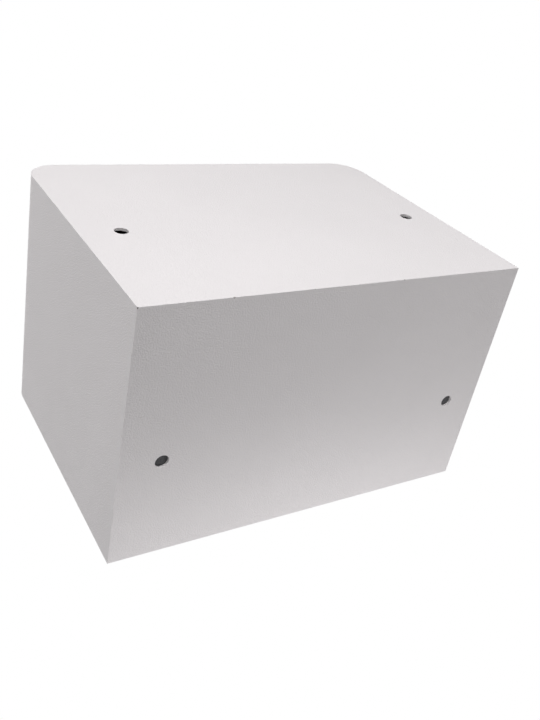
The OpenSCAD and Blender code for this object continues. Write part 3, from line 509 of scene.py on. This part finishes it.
# %% Felt mat
def felt_mat():
    low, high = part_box("floor_mat")
    columns, rows = 76, 48
    rim = 1.2 * MM
    shape = bmesh.new()
    top, under = [], []
    for row in range(rows + 1):
        for column in range(columns + 1):
            x = low.x + (high.x - low.x) * column / columns
            y = low.y + (high.y - low.y) * row / rows
            inset = min(x - low.x, high.x - x, y - low.y, high.y - y)
            sink = 0.8 * MM * (1 - min(1.0, inset / rim)) ** 2
            swell = 0.2 * MM * wave.noise(Vector((x, y, 0)) / (18 * MM))
            top.append(shape.verts.new((x, y, high.z - 0.2 * MM - sink + swell)))
            under.append(shape.verts.new((x, y, low.z)))
    step = columns + 1
    for row in range(rows):
        for column in range(columns):
            first = row * step + column
            corners = (first, first + 1, first + step + 1, first + step)
            shape.faces.new([top[index] for index in corners])
            shape.faces.new([under[index] for index in reversed(corners)])
    around = list(range(columns))
    around += [row * step + columns for row in range(rows)]
    around += [rows * step + column for column in range(columns, 0, -1)]
    around += [row * step for row in range(rows, 0, -1)]
    for first, second in zip(around, around[1:] + around[:1]):
        shape.faces.new((top[first], under[first], under[second], top[second]))
    bmesh.ops.recalc_face_normals(shape, faces=shape.faces)
    return shape


def new_piece(name, shape, finish, body, smooth=40):
    """Turns a bmesh into an object that has a finish and rides on a body."""
    mesh = bpy.data.meshes.new(name)
    shape.to_mesh(mesh)
    shape.free()
    mesh.materials.append(finish.material)
    mesh.shade_smooth()
    mesh.set_sharp_from_angle(angle=math.radians(smooth))
    piece = bpy.data.objects.new(name, mesh)
    bpy.context.scene.collection.objects.link(piece)
    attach(piece, body)
    return piece


mat = new_piece("felt_floor_mat", felt_mat(), felt, "cabinet")
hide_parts("floor_mat")


# %% [markdown]
# ## Numbers on the keys
#
# Each rubber key has its number printed in pale ink. A text curve gives clean numbers, and as a
# mesh it can be measured, scaled to a height and centred on its key. The print is a few hundredths
# of a millimetre thick, and it rides on its own key, so it goes down with it.

# %% Number print
# A print stands `proud` of its face and reaches `sunk` into it.
proud = 0.04 * MM
sunk = 0.10 * MM


def number_shape(digit, height, key):
    curve = bpy.data.curves.new("digit", "FONT")
    curve.body = digit
    curve.extrude = 0.5
    curve.resolution_u = 5
    holder = bpy.data.objects.new("digit", curve)
    bpy.context.scene.collection.objects.link(holder)
    ready = holder.evaluated_get(bpy.context.evaluated_depsgraph_get())
    flat = bpy.data.meshes.new_from_object(ready)
    bpy.data.objects.remove(holder)
    bpy.data.curves.remove(curve)
    shape = bmesh.new()
    shape.from_mesh(flat)
    bpy.data.meshes.remove(flat)
    across = [corner.co.x for corner in shape.verts]
    upward = [corner.co.y for corner in shape.verts]
    scale = height / (max(upward) - min(upward))
    low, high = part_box(key)
    centre = (low + high) / 2
    for corner in shape.verts:
        x = centre.x + scale * (corner.co.x - 0.5 * (max(across) + min(across)))
        z = centre.z + scale * (corner.co.y - 0.5 * (max(upward) + min(upward)))
        corner.co = (x, low.y - proud if corner.co.z > 0 else low.y + sunk, z)
    return shape


for digit in "1234567890":
    key = "key_" + digit
    shape = number_shape(digit, 4.6 * MM, key)
    new_piece("print_" + digit, shape, pad_print, key, 30)
print("printed numbers 0 to 9")


# %% [markdown]
# ## Marks drawn with a ribbon
#
# The two keys beside the zero carry plain marks, a ring and a tick, and the fascia shows which way
# the knob turns: an arc from open, at the top, to locked, at the left. All are lines of one width,
# so one ribbon that follows a path draws them.

# %% Ribbon
def ribbon(shape, path, width, front, closed=False):
    """Adds a flat band along a path of (x, z) points, on a face that looks along -Y."""
    rows = []
    count = len(path)
    top, under = front - proud, front + sunk
    for index in range(count):
        before = path[index - 1] if closed or index else path[index]
        after = path[(index + 1) % count] if closed or index < count - 1 else path[index]
        along = (Vector(after) - Vector(before)).normalized()
        across = Vector((-along.y, along.x)) * (0.5 * width)
        row = []
        for side_of, depth in ((1, top), (-1, top), (-1, under), (1, under)):
            x = path[index][0] + side_of * across.x
            z = path[index][1] + side_of * across.y
            row.append(shape.verts.new((x, depth, z)))
        rows.append(row)
    for first, second in zip(rows, rows[1:] + (rows[:1] if closed else [])):
        for corner in range(4):
            other = (corner + 1) % 4
            shape.faces.new((first[corner], first[other], second[other], second[corner]))
    if not closed:
        shape.faces.new(rows[0])
        shape.faces.new(reversed(rows[-1]))
    bmesh.ops.recalc_face_normals(shape, faces=shape.faces)


def circle(centre_x, centre_z, radius, start=0, end=360, steps=36):
    """Points on a circle; 0 degrees is at the top and angles grow towards the left."""
    step = (end - start) / steps
    turns = [math.radians(start + step * index) for index in range(steps + 1)]
    return [(centre_x - radius * math.sin(a), centre_z + radius * math.cos(a)) for a in turns]


# %% Key marks
low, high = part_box("key_left")
ring = bmesh.new()
line = 0.7 * MM
middle_x, middle_z = 0.5 * (low.x + high.x), 0.5 * (low.z + high.z)
ribbon(ring, circle(middle_x, middle_z, 1.9 * MM)[:-1], line, low.y, closed=True)
new_piece("print_ring", ring, pad_print, "key_left", 30)
low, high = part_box("key_right")
middle_x, middle_z = 0.5 * (low.x + high.x), 0.5 * (low.z + high.z)
tick = bmesh.new()
tick_path = [(-2.1, 0.1), (-0.6, -1.6), (2.2, 1.8)]
ribbon(tick, [(middle_x + x * MM, middle_z + z * MM) for x, z in tick_path], line, low.y)
new_piece("print_tick", tick, pad_print, "key_right", 30)
print("marks on the two keys beside the zero")


# %% Knob marks
knob_low, knob_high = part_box("knob")
knob_x, knob_z = 0.5 * (knob_low.x + knob_high.x), 0.5 * (knob_low.z + knob_high.z)
knob_r = 0.5 * (knob_high.z - knob_low.z)
fascia_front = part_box("fascia")[0].y
marks = bmesh.new()
ribbon(marks, circle(knob_x, knob_z, knob_r + 3.2 * MM, 12, 78), 0.6 * MM, fascia_front)
sign_out = knob_r + 4.4 * MM
sign_r = 1.3 * MM
for x, z, radius, width in (
        (knob_x, knob_z + sign_out, sign_r, 0.5 * MM),
        (knob_x - sign_out, knob_z, sign_r, 0.5 * MM),
        (knob_x - sign_out, knob_z, 0.5 * MM, 0.9 * MM)):
    ribbon(marks, circle(x, z, radius)[:-1], width, fascia_front, closed=True)
new_piece("print_knob_travel", marks, pad_print, "door", 30)
print("knob radius", round(knob_r / MM, 2), "mm")


# %% [markdown]
# ## Paint in the knob's pointer
#
# The pointer is a small blind hole in the grip, filled with a drop of red enamel. A drop has a
# curved top, so the fill is a disc whose rings sink towards its rim.

# %% Pointer paint
def paint_drop(x, z, front, radius, depth):
    shape = bmesh.new()
    rings = [(0.25, 0.0), (0.55, 0.03), (0.8, 0.08), (1.0, 0.16)]
    steps = 28
    rows = []
    for share, sink in rings + [(1.0, 0.55)]:
        row = []
        reach = share * radius
        for index in range(steps):
            angle = 2 * math.pi * index / steps
            across, up = reach * math.cos(angle), reach * math.sin(angle)
            row.append(shape.verts.new((x + across, front + sink * depth, z + up)))
        rows.append(row)
    for first, second in zip(rows, rows[1:]):
        for index in range(steps):
            other = (index + 1) % steps
            shape.faces.new((first[index], first[other], second[other], second[index]))
    shape.faces.new(rows[0])
    shape.faces.new(reversed(rows[-1]))
    bmesh.ops.recalc_face_normals(shape, faces=shape.faces)
    return shape


dimple_z = knob_z + 13.5 * MM
drop = paint_drop(knob_x, dimple_z, knob_low.y + 0.15 * MM, 1.19 * MM, 0.8 * MM)
new_piece("pointer_enamel_drop", drop, pointer_enamel, "knob", 60)
print("enamel drop", round((dimple_z - knob_z) / MM, 1), "mm from the knob's axis")


# %% [markdown]
# ## Weld beads
#
# The hinge blocks are welded to the door plate and the brackets to the frame. A hand-laid bead is
# a row of overlapping ripples, so the bead here is a tube whose radius swells at each ripple and
# closes at both ends.

# %% Weld bead
def weld_bead(shape, start, end, radius, ripple=1.5 * MM):
    start, end = Vector(start), Vector(end)
    along = (end - start).normalized()
    first = Vector((0, 0, 1)) if abs(along.z) < 0.5 else Vector((1, 0, 0))
    second = along.cross(first)
    length = (end - start).length
    steps = max(8, int(length / ripple * 6))
    around = 12
    rows = []
    for index in range(steps + 1):
        share = index / steps
        swell = 1 + 0.14 * math.cos(2 * math.pi * share * length / ripple)
        close = math.sqrt(max(0.04, 1 - abs(2 * share - 1) ** 8))
        centre = start + along * (share * length)
        row = []
        for turn in range(around):
            angle = 2 * math.pi * turn / around
            spread = first * math.cos(angle) + second * math.sin(angle)
            row.append(shape.verts.new(centre + spread * (radius * swell * close)))
        rows.append(row)
    for left, right in zip(rows, rows[1:]):
        for turn in range(around):
            other = (turn + 1) % around
            shape.faces.new((left[turn], left[other], right[other], right[turn]))
    shape.faces.new(rows[0])
    shape.faces.new(reversed(rows[-1]))
    bmesh.ops.recalc_face_normals(shape, faces=shape.faces)


def halves(name):
    """Lowest and highest corner of the lower and of the upper part of a node in two parts."""
    points = [corner.co for corner in nodes[name].data.vertices]
    split = 0.5 * (min(co.z for co in points) + max(co.z for co in points))
    lower, upper = [co for co in points if co.z < split], [co for co in points if co.z > split]
    for part in (lower, upper):
        yield [Vector([pick(co[axis] for co in part) for axis in range(3)]) for pick in (min, max)]


bead_r = 0.9 * MM
bead_off = 0.3 * MM
bead_end = 1 * MM
beads = bmesh.new()
for low, high in halves("hinge_blocks"):
    y = low.y + bead_off
    for x in (low.x, high.x):
        weld_bead(beads, (x, y, low.z + bead_end), (x, y, high.z - bead_end), bead_r)
new_piece("weld_beads_door", beads, zinc, "door", 60)
beads = bmesh.new()
for name, outer in (("hinge_bracket_top", 1), ("hinge_bracket_bottom", 0)):
    low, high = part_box(name)
    y, z = low.y + bead_off, (low, high)[outer].z
    weld_bead(beads, (low.x + bead_end, y, z), (high.x - bead_end, y, z), bead_r)
new_piece("weld_beads_cabinet", beads, zinc, "cabinet", 60)
print("weld beads on blocks and brackets")

# %% [markdown]
# ## Camera
#
# The photograph was taken from behind and below the safe, near one of its lower corners. The
# angles and the distance below are those of the camera that sees the corners and the holes where
# the picture has them.

# %% Camera
camera_data = bpy.data.cameras.new("camera")
camera_data.lens = 40.427
camera_data.sensor_width = 36
camera_data.shift_x = 0.0021
camera_data.shift_y = -0.0532
camera = bpy.data.objects.new("camera", camera_data)
camera.location = (0.3283, 0.3166, -0.3634)
tilt = (145.567, 29.918, 168.088)
camera.rotation_euler = Euler([math.radians(angle) for angle in tilt], "XYZ")
bpy.context.scene.collection.objects.link(camera)
bpy.context.scene.camera = camera
print("camera at", [round(part, 3) for part in camera.location])


# %% [markdown]
# ## Floor and world
#
# The floor is pale and lies just under the safe. The camera looks from below it, so the floor is
# seen only from above: its underside is clear, and it casts no shade on the safe's bottom. Near
# the safe it shows the shadow, and it fades to the white of the world further out. The world is
# white where the camera, a reflection or a lens looks at it, and a plain grey level everywhere
# else.

# %% Floor
shadow_share = 0.6


def make_floor():
    mesh = bpy.data.meshes.new("floor")
    shape = bmesh.new()
    bmesh.ops.create_grid(shape, x_segments=1, y_segments=1, size=6.0)
    shape.to_mesh(mesh)
    shape.free()
    floor = bpy.data.objects.new("floor", mesh)
    floor.location.z = -0.5 * MM
    bpy.context.scene.collection.objects.link(floor)
    floor.visible_shadow = False
    floor.visible_diffuse = False
    floor.visible_transmission = False
    finish = Finish("floor_pale", Roughness=0.9)
    tone = finish.ramp(finish.noise(0.4), 0.3, 0.7, (0.86,) * 3, (0.90,) * 3)
    finish.feed(Base_Color=tone)
    lit = Wire(finish, finish.shader.outputs[0])
    white = finish.add("ShaderNodeEmission", None, {"Color": (1, 1, 1), "Strength": 1.0})
    near = finish.fade(finish.away((0, 0, 0)), 0.4, 1.6)
    looked_at = finish.add("ShaderNodeLightPath", output="Is Camera Ray")
    looked_at = looked_at + finish.add("ShaderNodeLightPath", output="Is Glossy Ray")
    shown = looked_at * (1 - near * shadow_share)
    pale = finish.add("ShaderNodeMixShader", None, {0: shown, 1: lit, 2: white})
    under = finish.add("ShaderNodeNewGeometry", output="Backfacing")
    clear = finish.add("ShaderNodeBsdfTransparent")
    mixed = finish.add("ShaderNodeMixShader", None, {0: under, 1: pale, 2: clear})
    finish.link(mixed, finish.tree.nodes["Material Output"].inputs["Surface"])
    floor.data.materials.append(finish.material)
    return floor


floor = make_floor()
print("floor at", round(floor.location.z / MM, 1), "mm")


# %% World
def make_world(level):
    world = bpy.data.worlds.new("studio")
    bpy.context.scene.world = world
    world.use_nodes = True
    tree = world.node_tree
    tree.nodes.clear()
    path = tree.nodes.new("ShaderNodeLightPath")
    seen = path.outputs["Is Camera Ray"]
    for ray in ("Is Glossy Ray", "Is Transmission Ray"):
        either = tree.nodes.new("ShaderNodeMath")
        either.operation = "MAXIMUM"
        tree.links.new(seen, either.inputs[0])
        tree.links.new(path.outputs[ray], either.inputs[1])
        seen = either.outputs[0]
    strength = tree.nodes.new("ShaderNodeMapRange")
    strength.inputs["To Min"].default_value = level
    strength.inputs["To Max"].default_value = 1.0
    tree.links.new(seen, strength.inputs["Value"])
    shade = tree.nodes.new("ShaderNodeBackground")
    shade.inputs["Color"].default_value = (1, 1, 1, 1)
    tree.links.new(strength.outputs["Result"], shade.inputs["Strength"])
    output = tree.nodes.new("ShaderNodeOutputWorld")
    tree.links.new(shade.outputs[0], output.inputs["Surface"])


grey_level = 0.25
make_world(grey_level)
print("world level", grey_level)


# %% [markdown]
# ## Lamps
#
# Five lamps light the faces that the photograph shows, and one more keeps the front readable. Two
# of them stand low behind the safe, so their light skims the bottom and reaches the walls of its
# holes. The bottom grows lighter towards the door, as it does where a bright table lies beside it,
# so three weak lamps near the front edge stand for that bounce. Lamps are never seen by the
# camera. One more, weaker lamp in front shows in gloss alone, and gives plastic and metal their
# glints without blinding the chrome.

# %% Lamps
def soft_lamp(name, place, aim, width, watts, height=None):
    light = bpy.data.lights.new(name, "AREA")
    light.shape = "RECTANGLE" if height else "DISK"
    light.size = width
    if height:
        light.size_y = height
    light.energy = watts
    lamp = bpy.data.objects.new(name, light)
    lamp.location = place
    lamp.rotation_mode = "QUATERNION"
    lamp.rotation_quaternion = (Vector(aim) - Vector(place)).to_track_quat("-Z", "Y")
    lamp.visible_camera = False
    lamp.visible_glossy = False
    bpy.context.scene.collection.objects.link(lamp)
    return lamp


middle = (0, 0, 0.11)
soft_lamp("lamp_back_low", (0.1, 1.3, -0.23), middle, 0.4, 6.9)
soft_lamp("lamp_back_side", (0.6, 1.2, -0.23), middle, 0.4, 4.0)
soft_lamp("lamp_back_high", (0.6, 0.9, 0.45), middle, 0.6, 1.5)
soft_lamp("lamp_right", (1.5, -0.4, 1.2), middle, 0.8, 7.1)
soft_lamp("lamp_under_left", (-0.6, 0.75, -0.45), middle, 0.8, 0.52)
in_front = (-0.6, -1.6, 1.5)
soft_lamp("lamp_front", in_front, middle, 1.2, 28)
glint = soft_lamp("lamp_glint", in_front, middle, 1.2, 8)
glint.visible_diffuse = False
glint.visible_glossy = True
soft_lamp("bounce_wide", (0, -0.30, -0.2), (0, 0.05, 0), 0.35, 0.37)
soft_lamp("bounce_left", (-0.35, -0.20, -0.3), (-0.1, 0.05, 0), 0.5, 0.30)
soft_lamp("bounce_edge", (0, -0.098, -0.13), (0, -0.2, 0), 0.5, 0.097, 0.05)

# %% [markdown]
# ## Colour handling
#
# The Standard view shows a colour as it is written, and the other view settings stay as they are.

# %% View
bpy.context.scene.view_settings.view_transform = "Standard"
